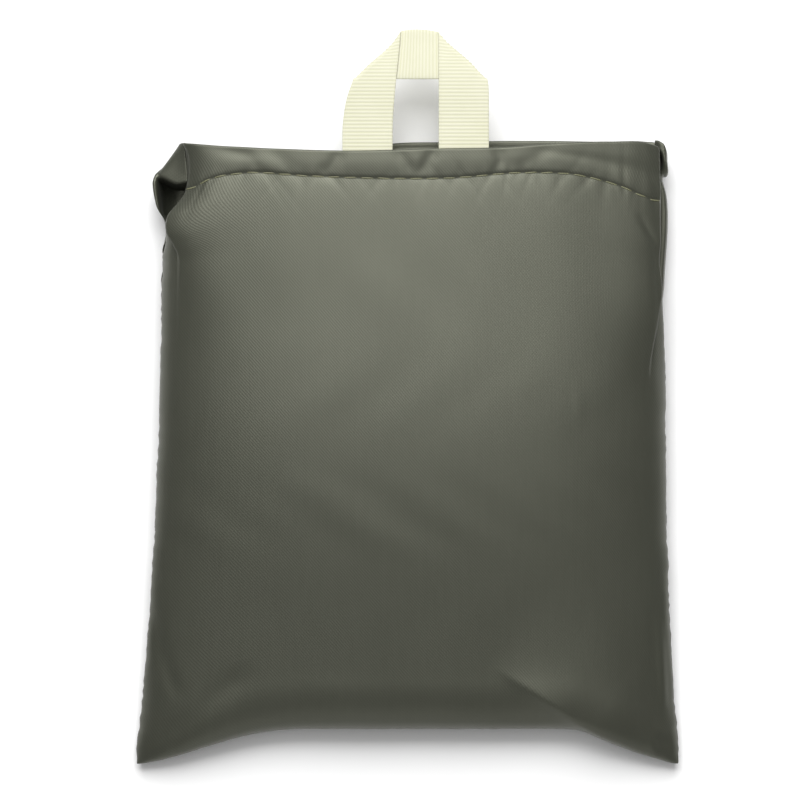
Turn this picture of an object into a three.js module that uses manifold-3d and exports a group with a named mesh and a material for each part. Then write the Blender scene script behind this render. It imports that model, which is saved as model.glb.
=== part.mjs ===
// A foldable tote bag, packed in its own pouch and lying on its back.
// Millimetres. +X runs across the pouch, +Y from its bottom seam to its mouth, +Z up from the table.
// The origin is on the table, under the middle of the whole object's outline.
//
// Three bodies: the pouch, the hanging loop that flexes where it leaves the pouch's front hem,
// and the tote itself, folded in three, which draws out of the mouth along +Y.

import * as THREE from "three";
import { mergeVertices } from "three/addons/utils/BufferGeometryUtils.js";
import Module from "manifold-3d";

// ---------------------------------------------------------------- driving dimensions

const GAP = 0.3; // between pieces that lie on each other

const CLOTH = 0.7; // one layer of the pouch's twill, with the air that it holds
const HEM_DEPTH = 8.7; // from the front edge of the mouth down to the hem's row of stitches

const POUCH_HALF_WIDTH = 75.7; // at the mouth
const CORNER_FLARE = 6.2; // how much further out each bottom corner reaches
const UPPER_SHIFT = 1.6; // the upper part lies this much to the right of the bottom
const BOTTOM_Y = -100; // middle of the bottom edge
const CORNER_DROP = 10.5; // how far the bottom corners reach below it
const CORNER_START = 42; // distance from the middle at which the bottom edge starts to drop
const FRONT_TOP_Y = 74.7; // front edge of the mouth
const BACK_TOP_Y = 77.5; // back edge of the mouth
const SEAM_Z = 8.5; // height of the side and bottom seams above the table
const CORNER_SEAM_Z = 3.5; // the same at the bottom corners
const MIDDLE_TOP_Z = 26.5; // top of the pouch over the folded tote
const MOUTH_TOP_Z = 24.4; // top of the front hem
const ROUND = 3; // power of the superellipse that the front panel follows
const BACK_ROUND = 4; // the same for the back panel, which is flatter
const BACK_FLAT = 0.04; // share of the back panel's rise that the table presses flat
const BOTTOM_LENGTH = 40; // stretch over which the pouch rises from its bottom seam
const SEAM_CLEARANCE = 1.5; // between the rims of the front and back panels
const BACK_HEM_LIFT = 0.9; // the back hem lies this much off the table, on its own stitches

const THREAD = 0.4; // thickness of a row of stitches
const THREAD_WIDTH = 0.7;
const OVERLOCK_WIDTH = 0.12; // overlocked edges inside the pouch, as a share of the quarter round

const RIBBON = 0.8; // thickness of the grosgrain ribbon
const RIBBON_WIDTH = 15;
const LOOP_LEFT_X = -19.5; // outer edge of the loop's left leg
const LOOP_RIGHT_X = 24.7; // outer edge of its right leg
const LOOP_HINGE_Y = 78.7; // where the loop flexes, just clear of the hem
const LOOP_HINGE_CLEAR = 1.1; // of ribbon left out each side of that line
const LOOP_TOP_Y = 110.5;
const LOOP_Z = 22.2; // middle of the ribbon's thickness

const SHEET = 1.2; // one folded-in side of the tote, three layers of cloth lying together
const SHEET_PITCH = SHEET + GAP;
const LEG_PITCH = 3 * SHEET_PITCH; // front panel, gusset and back panel
const TOTE_HALF_WIDTH = 64;
const TOTE_BOTTOM_Z = 2.2;
const TOTE_FRONT_Y = 76.5; // end of the folded tote that shows in the pouch's mouth
const TOTE_REAR_Y = -86;
const TOTE_ROUND = 4.5;

const STRAP = 1.4; // thickness of a handle's webbing
const STRAP_WIDTH = 25;
const STRAP_INNER_X = 24; // inner edge of each run of a handle
const STRAP_FRONT_Y = 62;
const STRAP_REAR_Y = -60;
const TACK_WIDTH = 2; // length of a bar tack along the ribbon or strap
const TACK = 0.8; // thickness of a strap's bar tack

// ---------------------------------------------------------------- materials

const material = (color, roughness) => new THREE.MeshStandardMaterial({ color, roughness, metalness: 0 });
const pouchCloth = material(0x666859, 0.55);
const toteCloth = material(0x5d6052, 0.6);
const webbing = material(0x4f5245, 0.75);
const ribbon = material(0xe6e3b4, 0.8);
const thread = material(0x777544, 0.7);

// ---------------------------------------------------------------- helpers

const clamp01 = (t) => Math.min(1, Math.max(0, t));
const lerp = (a, b, t) => a + (b - a) * t;
const smoothstep = (a, b, t) => {
  const k = clamp01((t - a) / (b - a));
  return k * k * (3 - 2 * k);
};
const bulge = (t, power) => (1 - clamp01(Math.abs(t)) ** power) ** (1 / power);

const wasm = await Module();
wasm.setup();

function solidFrom(geometry) {
  const bare = geometry.clone().deleteAttribute("normal").deleteAttribute("uv");
  const merged = mergeVertices(bare, 1e-4);
  return new wasm.Manifold(
    new wasm.Mesh({
      numProp: 3,
      vertProperties: new Float32Array(merged.attributes.position.array),
      triVerts: new Uint32Array(merged.index.array),
    }),
  );
}

function geometryFrom(solid) {
  const mesh = solid.getMesh();
  const geometry = new THREE.BufferGeometry();
  geometry.setAttribute("position", new THREE.BufferAttribute(mesh.vertProperties, 3));
  geometry.setIndex(new THREE.BufferAttribute(mesh.triVerts, 1));
  return geometry;
}

// A flat outline, pushed out by depth and turned so that its own x, y and z lie along the three axes given.
function extrude(points, depth, xAxis, yAxis, zAxis, origin) {
  const shape = new THREE.Shape(points.map(([a, b]) => new THREE.Vector2(a, b)));
  const geometry = new THREE.ExtrudeGeometry(shape, { depth, bevelEnabled: false });
  return geometry.applyMatrix4(new THREE.Matrix4().makeBasis(xAxis, yAxis, zAxis).setPosition(origin));
}

const X = new THREE.Vector3(1, 0, 0);
const Y = new THREE.Vector3(0, 1, 0);
const Z = new THREE.Vector3(0, 0, 1);
const slab = (points, z, thickness) => extrude(points, thickness, X, Y, Z, new THREE.Vector3(0, 0, z));
const block = (x0, x1, y0, y1, z, thickness) =>
  slab([[x0, y0], [x1, y0], [x1, y1], [x0, y1]], z, thickness);

// ---------------------------------------------------------------- the pouch's two surfaces
// s runs across, from -1 at the left seam to 1 at the right.
// v runs up the pouch, from 0 at the bottom seam to 1 at the mouth.

const BOTTOM_SHARE = 0.3; // share of v that the rise from the bottom seam takes
const BOTTOM_ROWS = 7; // rows of facets in that rise
const FRONT_COLUMNS = 26; // columns of facets across the front panel
const BACK_COLUMNS = 20; // the same for the back panel
const NOMINAL_LENGTH = FRONT_TOP_Y - BOTTOM_Y;

function bottomEdge(x) {
  const cornerX = POUCH_HALF_WIDTH + CORNER_FLARE;
  const share = clamp01((Math.abs(x) - CORNER_START) / (cornerX - CORNER_START));
  return BOTTOM_Y - CORNER_DROP * share ** 1.2;
}

function halfWidthAt(y) {
  return POUCH_HALF_WIDTH + CORNER_FLARE * clamp01((30 - y) / 134) ** 2.6;
}

// Where (s, v) lies in plan, with what the height functions need.
function plan(s, v, topY) {
  const quarter = (Math.PI / 2) * Math.abs(s);
  const across = Math.sign(s) * Math.sin(quarter) ** (2 / ROUND);
  const turn = (Math.PI / 2) * clamp01(v / BOTTOM_SHARE);
  const rise = BOTTOM_LENGTH * (1 - Math.cos(turn) ** (2 / ROUND));
  const beyond = Math.max(0, (v - BOTTOM_SHARE) / (1 - BOTTOM_SHARE));
  const length = rise + beyond * (NOMINAL_LENGTH - BOTTOM_LENGTH);
  const share = length / NOMINAL_LENGTH;
  const nominalY = BOTTOM_Y + length;
  const x = UPPER_SHIFT * smoothstep(BOTTOM_Y, 30, nominalY) + across * halfWidthAt(nominalY);
  const y = lerp(bottomEdge(x), topY, share);
  const seam = SEAM_Z - (SEAM_Z - CORNER_SEAM_Z) * Math.abs(across) ** 6 * clamp01(1 - share) ** 8;
  return { x, y, across, toBottom: clamp01(1 - length / BOTTOM_LENGTH), seam };
}

function frontSurface(s, v) {
  const { x, y, across, toBottom, seam } = plan(s, v, FRONT_TOP_Y);
  const top = lerp(MIDDLE_TOP_Z, MOUTH_TOP_Z, smoothstep(20, FRONT_TOP_Y, y));
  return new THREE.Vector3(x, y, seam + (top - seam) * bulge(across, ROUND) * bulge(toBottom, ROUND));
}

function backSurface(s, v) {
  const { x, y, across, toBottom, seam } = plan(s, v, BACK_TOP_Y);
  const flat = bulge(across, BACK_ROUND) * bulge(toBottom, BACK_ROUND);
  const rise = Math.max(0, (1 - flat - BACK_FLAT) / (1 - BACK_FLAT));
  const lift = BACK_HEM_LIFT * smoothstep(BACK_TOP_Y - 18, BACK_TOP_Y - 12, y) * (1 - rise);
  return new THREE.Vector3(x, y, (seam - SEAM_CLEARANCE) * rise + lift);
}

// The s and v of a place on the upper part of the front panel.
const sAtX = (x) => {
  const across = (x - UPPER_SHIFT) / POUCH_HALF_WIDTH;
  return (Math.sign(across) * 2 * Math.asin(Math.abs(across) ** (ROUND / 2))) / Math.PI;
};
const vAtY = (y) => {
  const share = (y - BOTTOM_Y) / NOMINAL_LENGTH;
  const beyond = (share * NOMINAL_LENGTH - BOTTOM_LENGTH) / (NOMINAL_LENGTH - BOTTOM_LENGTH);
  return BOTTOM_SHARE + beyond * (1 - BOTTOM_SHARE);
};

// A closed sheet that follows part of a surface, between two offsets along its upward normal.
// low and high are numbers, or functions of v.
function patch(surface, { s = [-1, 1], v = [0, 1], low, high, across, along, rows }) {
  const steps = rows ?? Array.from({ length: along + 1 }, (_, j) => lerp(v[0], v[1], j / along));
  const columns = across + 1;
  const points = steps.flatMap((row) =>
    Array.from({ length: columns }, (_, i) => surface(lerp(s[0], s[1], i / across), row)),
  );
  const cells = [];
  for (let j = 0; j < steps.length - 1; j++)
    for (let i = 0; i < across; i++) {
      const a = j * columns + i;
      cells.push(a, a + 1, a + columns + 1, a, a + columns + 1, a + columns);
    }
  const sheet = new THREE.BufferGeometry().setFromPoints(points);
  sheet.setIndex(cells);
  sheet.computeVertexNormals();

  const normals = sheet.attributes.normal;
  const at = (offset, row) => (typeof offset === "function" ? offset(row) : offset);
  const layer = (offset) =>
    points.map((p, k) =>
      p.clone().addScaledVector(
        new THREE.Vector3().fromBufferAttribute(normals, k),
        at(offset, steps[Math.floor(k / columns)]),
      ),
    );
  const count = points.length;
  const faces = [...cells];
  for (let k = 0; k < cells.length; k += 3)
    faces.push(cells[k] + count, cells[k + 2] + count, cells[k + 1] + count);
  const last = (steps.length - 1) * columns;
  const rim = [];
  for (let i = 0; i < across; i++) rim.push(i);
  for (let j = 0; j < steps.length - 1; j++) rim.push(j * columns + across);
  for (let i = across; i > 0; i--) rim.push(last + i);
  for (let j = steps.length - 1; j > 0; j--) rim.push(j * columns);
  rim.forEach((a, k) => {
    const b = rim[(k + 1) % rim.length];
    faces.push(b, a, a + count, b, a + count, b + count);
  });
  const closed = new THREE.BufferGeometry().setFromPoints([...layer(high), ...layer(low)]);
  closed.setIndex(faces);
  return closed;
}

// ---------------------------------------------------------------- pouch

const HEM_Y = FRONT_TOP_Y - HEM_DEPTH;
const HEM_V = vAtY(HEM_Y);

// Rows of v, close together at the bottom seam and at the turned hem.
const panelRows = (bottom, middle) => [
  ...Array.from({ length: bottom }, (_, j) => (BOTTOM_SHARE * j) / bottom),
  ...Array.from({ length: middle }, (_, j) => lerp(BOTTOM_SHARE, HEM_V - 0.01, j / middle)),
  HEM_V - 0.01,
  HEM_V,
  1,
];

// The hem is the panel's own edge turned in, so the panel is double there.
function frontPanel() {
  const low = (v) => (v < HEM_V ? -CLOTH : -2 * CLOTH);
  return patch(frontSurface, { across: FRONT_COLUMNS, rows: panelRows(BOTTOM_ROWS, 9), low, high: 0 });
}

function backPanel() {
  return patch(backSurface, { across: BACK_COLUMNS, rows: panelRows(6, 7), low: 0, high: CLOTH });
}

// A row of stitches across a panel at the hem, standing off its outer face.
function hemStitches(surface, low) {
  const half = (vAtY(HEM_Y + THREAD_WIDTH) - HEM_V) / 2;
  return patch(surface, {
    s: [-0.9, 0.9],
    v: [HEM_V - half, HEM_V + half],
    low,
    high: low + THREAD,
    across: 26,
    along: 1,
  });
}

// The overlocked cloth edges of a seam, inside the pouch just above the seam line.
function overlock(s, v, across, along) {
  const high = -CLOTH - GAP;
  return patch(frontSurface, { s, v, low: high - RIBBON, high, across, along });
}

// The bottom seam's edges stand up behind the front panel's first row of facets.
function bottomOverlock() {
  const ends = 8;
  const reach = 1 - ends / FRONT_COLUMNS;
  return overlock([-reach, reach], [0, BOTTOM_SHARE / BOTTOM_ROWS], FRONT_COLUMNS - ends, 1);
}

// The sewn end of one leg of the loop, under the front hem, and the bar tack that holds it.
function loopTail(x) {
  const high = -2 * CLOTH - GAP;
  return patch(frontSurface, {
    s: [sAtX(x), sAtX(x + RIBBON_WIDTH)],
    v: [HEM_V, vAtY(LOOP_HINGE_Y - LOOP_HINGE_CLEAR)],
    low: high - RIBBON,
    high,
    across: 4,
    along: 2,
  });
}

function loopTack(x) {
  const high = -2 * CLOTH - RIBBON - 2 * GAP;
  return patch(frontSurface, {
    s: [sAtX(x), sAtX(x + RIBBON_WIDTH)],
    v: [vAtY(HEM_Y + 1), vAtY(HEM_Y + 1 + TACK_WIDTH)],
    low: high - THREAD,
    high,
    across: 4,
    along: 1,
  });
}

// ---------------------------------------------------------------- hanging loop
// One length of ribbon that turns twice at its top, so the outline is two legs with sloping shoulders.

function hangingLoop() {
  const start = LOOP_HINGE_Y + LOOP_HINGE_CLEAR;
  const shoulder = LOOP_TOP_Y - 18;
  const inner = LOOP_TOP_Y - 13.3;
  const outline = [
    [LOOP_LEFT_X, start],
    [LOOP_LEFT_X + RIBBON_WIDTH, start],
    [LOOP_LEFT_X + RIBBON_WIDTH + 1.2, inner],
    [LOOP_RIGHT_X - RIBBON_WIDTH + 0.8, inner],
    [LOOP_RIGHT_X - RIBBON_WIDTH, start],
    [LOOP_RIGHT_X, start],
    [LOOP_RIGHT_X, shoulder],
    [LOOP_RIGHT_X - 1.3, shoulder + 2.3],
    [LOOP_RIGHT_X - 15.2, LOOP_TOP_Y - 1.3],
    [LOOP_RIGHT_X - 17.2, LOOP_TOP_Y],
    [LOOP_LEFT_X + 19.5, LOOP_TOP_Y],
    [LOOP_LEFT_X + 17.7, LOOP_TOP_Y - 1],
    [LOOP_LEFT_X + 3.5, shoulder + 0.5],
    [LOOP_LEFT_X + 1.2, shoulder - 4.5],
  ];
  return slab(outline, LOOP_Z - RIBBON / 2, RIBBON);
}

// ---------------------------------------------------------------- folded tote
// Seen from the side it is one S: a leg from the rear end, a fold at the mouth end, a leg back,
// a fold at the rear end, and a leg forward to the tote's own mouth.

const legZ = [
  TOTE_BOTTOM_Z + LEG_PITCH / 2 - GAP / 2,
  TOTE_BOTTOM_Z + LEG_PITCH * 1.5 - GAP / 2,
  TOTE_BOTTOM_Z + LEG_PITCH * 2.5 - GAP / 2 + STRAP + GAP,
];
const TOTE_TOP_Z = legZ[2] + (LEG_PITCH - GAP) / 2;

// Places along the S, as [y, z, normalY, normalZ] with the normal on the left of the way it runs.
function foldLine() {
  const outside = (LEG_PITCH - GAP) / 2;
  const [lowR, highR] = [(legZ[1] - legZ[0]) / 2, (legZ[2] - legZ[1]) / 2];
  const lowY = TOTE_FRONT_Y - outside - lowR;
  const highY = TOTE_REAR_Y + outside + highR;
  const line = [[TOTE_REAR_Y, legZ[0], 0, 1]];
  const steps = 8;
  for (let k = 0; k <= steps; k++) {
    const a = -Math.PI / 2 + (Math.PI * k) / steps;
    const [c, d] = [Math.cos(a), Math.sin(a)];
    line.push([lowY + lowR * c, legZ[0] + lowR + lowR * d, -c, -d]);
  }
  for (let k = 0; k <= steps; k++) {
    const a = -Math.PI / 2 - (Math.PI * k) / steps;
    const [c, d] = [Math.cos(a), Math.sin(a)];
    line.push([highY + highR * c, legZ[1] + highR + highR * d, c, d]);
  }
  line.push([TOTE_FRONT_Y, legZ[2], 0, 1]);
  return line;
}

// The soft outer shape that all the folded layers share, as a bar along Y.
function toteEnvelope() {
  const middle = (TOTE_BOTTOM_Z + TOTE_TOP_Z) / 2;
  const half = (TOTE_TOP_Z - TOTE_BOTTOM_Z) / 2;
  const corners = 36;
  const outline = Array.from({ length: corners }, (_, k) => {
    const a = (2 * Math.PI * k) / corners;
    const power = 2 / TOTE_ROUND;
    return [
      TOTE_HALF_WIDTH * Math.sign(Math.cos(a)) * Math.abs(Math.cos(a)) ** power,
      middle + half * Math.sign(Math.sin(a)) * Math.abs(Math.sin(a)) ** power,
    ];
  });
  const length = TOTE_FRONT_Y - TOTE_REAR_Y + 20;
  const end = new THREE.Vector3(0, TOTE_FRONT_Y + 10, 0);
  return solidFrom(extrude(outline, length, X, Z, Y.clone().negate(), end));
}

// One layer of the S, centred at an offset from its line.
function foldedSheet(offset) {
  const line = foldLine();
  const side = (distance) => line.map(([y, z, ny, nz]) => [y + ny * distance, z + nz * distance]);
  const outline = [...side(offset - SHEET / 2), ...side(offset + SHEET / 2).reverse()];
  const width = 2 * TOTE_HALF_WIDTH;
  const sheet = extrude(outline, width, Y, Z, X, new THREE.Vector3(-TOTE_HALF_WIDTH, 0, 0));
  return geometryFrom(solidFrom(sheet).intersect(toteEnvelope()));
}

// A handle laid flat: two runs of webbing from its sewn ends, and the turn between them.
function handle(z) {
  const outer = STRAP_INNER_X + STRAP_WIDTH;
  const inner = STRAP_INNER_X;
  const outline = [
    [-outer, STRAP_REAR_Y],
    [outer, STRAP_REAR_Y],
    [outer, STRAP_FRONT_Y],
    [inner, STRAP_FRONT_Y],
    [inner, STRAP_REAR_Y + STRAP_WIDTH],
    [-inner, STRAP_REAR_Y + STRAP_WIDTH],
    [-inner, STRAP_FRONT_Y],
    [-outer, STRAP_FRONT_Y],
  ];
  return slab(outline, z, STRAP);
}

function handleTack(side, z) {
  const near = side * STRAP_INNER_X;
  const far = side * (STRAP_INNER_X + STRAP_WIDTH);
  const y = STRAP_FRONT_Y + GAP;
  return block(Math.min(near, far), Math.max(near, far), y, y + TACK_WIDTH, z, TACK);
}

// ---------------------------------------------------------------- assembly

const tote = new THREE.Group();

function add(name, geometry, look) {
  const mesh = new THREE.Mesh(geometry, look);
  mesh.name = name;
  tote.add(mesh);
}

add("pouch_front_panel", frontPanel(), pouchCloth);
add("pouch_back_panel", backPanel(), pouchCloth);
add("front_hem_stitching", hemStitches(frontSurface, GAP), thread);
add("back_hem_stitching", hemStitches(backSurface, -GAP - THREAD), thread);
add("left_seam_overlock", overlock([-1, OVERLOCK_WIDTH - 1], [0.09, 0.82], 2, 16), thread);
add("right_seam_overlock", overlock([1 - OVERLOCK_WIDTH, 1], [0.09, 0.82], 2, 16), thread);
add("bottom_seam_overlock", bottomOverlock(), thread);

const legs = { left: LOOP_LEFT_X, right: LOOP_RIGHT_X - RIBBON_WIDTH };
for (const [side, x] of Object.entries(legs)) {
  add(`loop_tail_${side}`, loopTail(x), ribbon);
  add(`loop_tack_${side}`, loopTack(x), thread);
}
add("hanging_loop", hangingLoop(), ribbon);

add("tote_front_panel", foldedSheet(SHEET_PITCH), toteCloth);
add("tote_gusset", foldedSheet(0), toteCloth);
add("tote_back_panel", foldedSheet(-SHEET_PITCH), toteCloth);

const handles = { front: TOTE_TOP_Z + GAP, back: legZ[1] + (LEG_PITCH - GAP) / 2 + GAP };
for (const [name, z] of Object.entries(handles)) {
  add(`${name}_handle`, handle(z), webbing);
  add(`${name}_handle_tack_left`, handleTack(-1, z), thread);
  add(`${name}_handle_tack_right`, handleTack(1, z), thread);
}

export default tote;
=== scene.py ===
"""Looks for a foldable tote bag that is packed in its own pouch and lies on its back.

Metres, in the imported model's frame: +X across the pouch, +Y towards its mouth and hanging loop, +Z up.
Each panel of the pouch is a grid of cloth laid over the folded tote. A cloth simulation relaxes the front
one with its seams pinned, and then the panels get their tucks, hems, stitch puckers and seam gathers.
The tote, its handles and the hanging loop are flat strips and sheets that are folded mathematically.
"""

import math

import bpy
import numpy as np
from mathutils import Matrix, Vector


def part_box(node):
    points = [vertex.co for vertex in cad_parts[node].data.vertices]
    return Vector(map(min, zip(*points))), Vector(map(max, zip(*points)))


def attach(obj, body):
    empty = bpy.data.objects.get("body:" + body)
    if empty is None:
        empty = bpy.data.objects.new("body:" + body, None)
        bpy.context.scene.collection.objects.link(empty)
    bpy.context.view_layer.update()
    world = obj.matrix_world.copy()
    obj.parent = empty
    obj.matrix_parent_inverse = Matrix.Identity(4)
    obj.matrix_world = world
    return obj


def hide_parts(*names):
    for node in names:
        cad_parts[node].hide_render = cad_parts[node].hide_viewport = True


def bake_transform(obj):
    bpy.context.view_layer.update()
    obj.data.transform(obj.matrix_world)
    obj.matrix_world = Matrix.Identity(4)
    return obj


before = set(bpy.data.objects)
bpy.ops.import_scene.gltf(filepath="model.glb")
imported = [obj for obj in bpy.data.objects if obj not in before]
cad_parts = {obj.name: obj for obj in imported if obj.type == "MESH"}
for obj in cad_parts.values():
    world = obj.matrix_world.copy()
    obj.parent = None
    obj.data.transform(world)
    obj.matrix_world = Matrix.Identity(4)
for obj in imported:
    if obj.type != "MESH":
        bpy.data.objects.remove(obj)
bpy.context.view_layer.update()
MM = 0.001
TURN = 2 * math.pi

# ---- driving dimensions

FRONT_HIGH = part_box("pouch_front_panel")[1]
BACK_LOW, BACK_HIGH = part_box("pouch_back_panel")
LOOP_LOW, LOOP_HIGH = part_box("hanging_loop")
TAIL_LOW, TAIL_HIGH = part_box("loop_tail_left")
TOP_SHEET_LOW, TOP_SHEET_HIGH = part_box("tote_front_panel")
MIDDLE_SHEET_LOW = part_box("tote_gusset")[0]
LOW_SHEET_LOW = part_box("tote_back_panel")[0]
HANDLE_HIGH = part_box("front_handle")[1]

CLOTH = 0.22 * MM  # thickness of the pouch's twill
HEM_DEPTH = 8.8 * MM
HEM_ROLL = 0.35 * MM  # radius at which a hem's edge turns in
HEM_RAW = 1.5 * MM  # the turned edge reaches this far past its stitches
BOTTOM_Y = BACK_LOW.y + 10.5 * MM  # middle of the bottom seam, above its two corners
MOUTH_Y = FRONT_HIGH.y
BACK_MOUTH_Y = BACK_HIGH.y
SEAM_Z = 8.5 * MM
TOP_Z = FRONT_HIGH.z
CORNER_X = BACK_HIGH.x
FLAT_WIDTH = 2 * CORNER_X + 2 * MM  # the panels as they were cut, between their seams
FLAT_LENGTH = MOUTH_Y - BACK_LOW.y
BACK_FLAT_LENGTH = BACK_MOUTH_Y - BACK_LOW.y

# ---- curves


def smoothstep(low, high, t):
    k = np.clip((t - low) / (high - low), 0, 1)
    return k * k * (3 - 2 * k)


def ramp(low, high, t):
    """A smoothstep between two distances that are given in mm."""
    return smoothstep(low * MM, high * MM, t)


def mix(a, b, k):
    return a + (b - a) * k


def bump(t, centre, width):
    """1 at the centre, falling to nearly 0 at about 2 widths."""
    return np.exp(-(((t - centre) / width) ** 2))


def bulge(t, power):
    """The upper half of a superellipse, from 0 at -1 through 1 at 0 to 0 at 1."""
    return (1 - np.clip(np.abs(t), 0, 1) ** power) ** (1 / power)


def through(t, places):
    """A smooth curve through a few (t, value) places, level beyond its ends."""
    at, value = np.array(places, float).T
    slope = np.gradient(value, at)
    slope[[0, -1]] = 0
    t = np.clip(t, at[0], at[-1])
    i = np.clip(np.searchsorted(at, t, side="right") - 1, 0, len(at) - 2)
    width = at[i + 1] - at[i]
    k = (t - at[i]) / width
    start = value[i] * (1 + 2 * k) + slope[i] * width * k
    end = value[i + 1] * (3 - 2 * k) - slope[i + 1] * width * (1 - k)
    return start * (1 - k) ** 2 + end * k**2


def curve(t, places):
    """The same for a distance t, through places that are given in mm."""
    return through(t / MM, places) * MM


def wander(t, wavelength, seed):
    """A smooth random curve between about -1 and 1."""
    random = np.random.default_rng(seed)
    total = np.zeros_like(t)
    for share in (0.7, 1.0, 1.6):
        total = total + np.sin(TURN * t / (wavelength * share) + random.uniform(0, TURN))
    return total / 2.2


def rolling(x, y, wavelength, seed):
    """A smooth random surface between about -1 and 1."""
    skew = wander(y, 2.3 * wavelength, seed + 1) * 0.4 * wavelength
    return wander(x + skew, wavelength, seed) * (0.6 + 0.4 * wander(y + skew, 1.4 * wavelength, seed + 2))


# ---- grids of points
# A cloth is a grid of points, [row, column, xyz], with rows from its bottom seam to its mouth.


def resample(grid, rows, columns):
    """The grid again at these fractional rows and columns, on smooth cubics through its points."""
    for axis, places in ((0, rows), (1, columns)):
        grid = np.moveaxis(grid, axis, 0)
        last = len(grid) - 1
        first = np.clip(np.floor(places).astype(int), 0, last - 1)
        f = (places - first)[:, None, None]
        a, b = grid[first], grid[first + 1]
        before = grid[np.maximum(first - 1, 0)]
        after = grid[np.minimum(first + 2, last)]
        cubic = 2 * before - 5 * a + 4 * b - after + f * (3 * (a - b) + after - before)
        grid = a + 0.5 * f * (b - before + f * cubic)
        grid = np.moveaxis(grid, 0, axis)
    return grid


def xyz(x, y, z):
    return np.stack([x, y, z], axis=-1)


def unit(vectors):
    return vectors / np.maximum(np.linalg.norm(vectors, axis=-1, keepdims=True), 1e-12)


def normals(grid):
    """Unit normals, up out of a grid whose columns run along +X and rows along +Y."""
    return unit(np.cross(np.gradient(grid, axis=1), np.gradient(grid, axis=0)))


def lengths(line):
    """Distance along a line of points, at each of them."""
    return np.concatenate([[0], np.cumsum(np.linalg.norm(np.diff(line, axis=0), axis=-1))])


def at_lengths(at, length, values):
    """Values that are given at those lengths along a line, at other distances along it."""
    return np.stack([np.interp(at, length, column) for column in values.T], axis=1)


def cloth_places(across, along):
    """Each grid point's place in the flat cloth."""
    return np.stack(np.broadcast_arrays(across[None, :], along[:, None]), axis=-1)


def mesh_from(name, points, faces, uv):
    mesh = bpy.data.meshes.new(name)
    mesh.from_pydata(points.reshape(-1, 3).tolist(), [], faces)
    mesh.shade_smooth()
    layer = mesh.uv_layers.new(name="cloth")
    corner = np.zeros(len(mesh.loops), np.int32)
    mesh.loops.foreach_get("vertex_index", corner)
    layer.data.foreach_set("uv", uv.reshape(-1, 2)[corner].astype(np.float32).ravel())
    return mesh


def grid_faces(rows, columns, closed, first=0):
    """Faces of a grid. A closed grid's columns go round a section, and its two ends are capped."""
    i = first + np.arange(rows * columns).reshape(rows, columns)
    if closed:
        i = np.concatenate([i, i[:, :1]], axis=1)
    faces = np.stack([i[:-1, :-1], i[:-1, 1:], i[1:, 1:], i[1:, :-1]], axis=-1).reshape(-1, 4).tolist()
    if closed:
        faces += [i[0, -2::-1].tolist(), i[-1, :-1].tolist()]
    return faces


def grid_mesh(name, points, uv, closed=False):
    return mesh_from(name, points, grid_faces(*points.shape[:2], closed), uv)


def add_object(name, data):
    obj = bpy.data.objects.new(name, data)
    bpy.context.scene.collection.objects.link(obj)
    return obj


def add_piece(name, mesh, material, body, replaced=()):
    obj = add_object(name, mesh)
    mesh.materials.append(material)
    if replaced:
        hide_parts(*replaced)
    if body:
        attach(obj, body)
    return obj


def thicken(obj, thickness):
    solid = obj.modifiers.new("thickness", "SOLIDIFY")
    solid.thickness = thickness
    solid.offset = 0
    solid.use_even_offset = False


# ---- outline and height of the pouch
# s runs across, from -1 at the left seam to 1 at the right.
# v runs from 0 at the bottom seam to 1 at the mouth.

ROUND = 2.4  # power of the superellipse that the front follows across
REAR_ROUND = 2.0  # and towards its bottom end
BACK_ROUND = 4.5
END_ROUND = 2.4
END_LENGTH = 15 * MM  # stretch over which the front rises from its bottom seam
END_RISE = 9 * MM
END_SHARE = 0.1  # share of v that this takes
BACK_END_LENGTH = 34 * MM
BACK_END_RISE = 8 * MM
BACK_END_SHARE = 0.2
SHOULDER = 1.3 * MM  # fullness of the front beside its borders, near the mouth
# How far the bottom seam drops towards its corners, as (x, drop) in mm:
CORNER_DROP = (
    (-81, 10.9), (-76, 10.1), (-67, 7.7), (-58, 4.7), (-45, 1.3), (-36, 0.2), (-26, 0), (-12, 0),
    (0, 0), (20, 0), (36, 0), (45, 0), (52, 0.6), (58, 3.1), (64, 5.6), (70, 7.8), (75, 9.3), (81, 10.8),
)
REAR_SLOPE = 0.125  # rise of the front from its bottom end
MOUTH_SLOPE = 0.035  # and its fall towards the mouth


def half_width(y):
    return CORNER_X - 5.8 * MM * (1 - np.clip((50 * MM - y) / (155 * MM), 0, 1) ** 3)


def centre_x(y):
    return 2.2 * MM * np.clip((y + 105 * MM) / (155 * MM), 0, 1)


def bottom_edge(x):
    return BOTTOM_Y - curve(x, CORNER_DROP)


CROWN_Y = np.linspace(BACK_LOW.y, BACK_MOUTH_Y, 400)
CROWN_SLOPE = mix(REAR_SLOPE, -MOUTH_SLOPE, ramp(-62, 24, CROWN_Y))
CROWN_RISE = np.cumsum(CROWN_SLOPE) * (CROWN_Y[1] - CROWN_Y[0])
CROWN_Z = TOP_Z - CLOTH - CROWN_RISE.max() + CROWN_RISE


def crown(y):
    """Height of the front panel along its middle, away from its ends."""
    return np.interp(y, CROWN_Y, CROWN_Z)


def seam_height(across, y):
    corner = np.abs(across) ** 5 * smoothstep(BOTTOM_Y + 45 * MM, BOTTOM_Y - 8 * MM, y)
    return SEAM_Z - 4.6 * MM * corner


def front_surface(across, y, end):
    """Height of the front, from its place across, and how far into its bottom end it lies, 1 at the seam."""
    seam = seam_height(across, y)
    section = bulge(across, mix(REAR_ROUND, ROUND, ramp(-90, 0, y)))
    full = SHOULDER * bump(np.abs(across), 0.93, 0.16) * ramp(10, 55, y)
    full = full * np.minimum(1, 3 * section)
    return seam + (crown(y) - seam) * section * bulge(end, END_ROUND) + full


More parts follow.
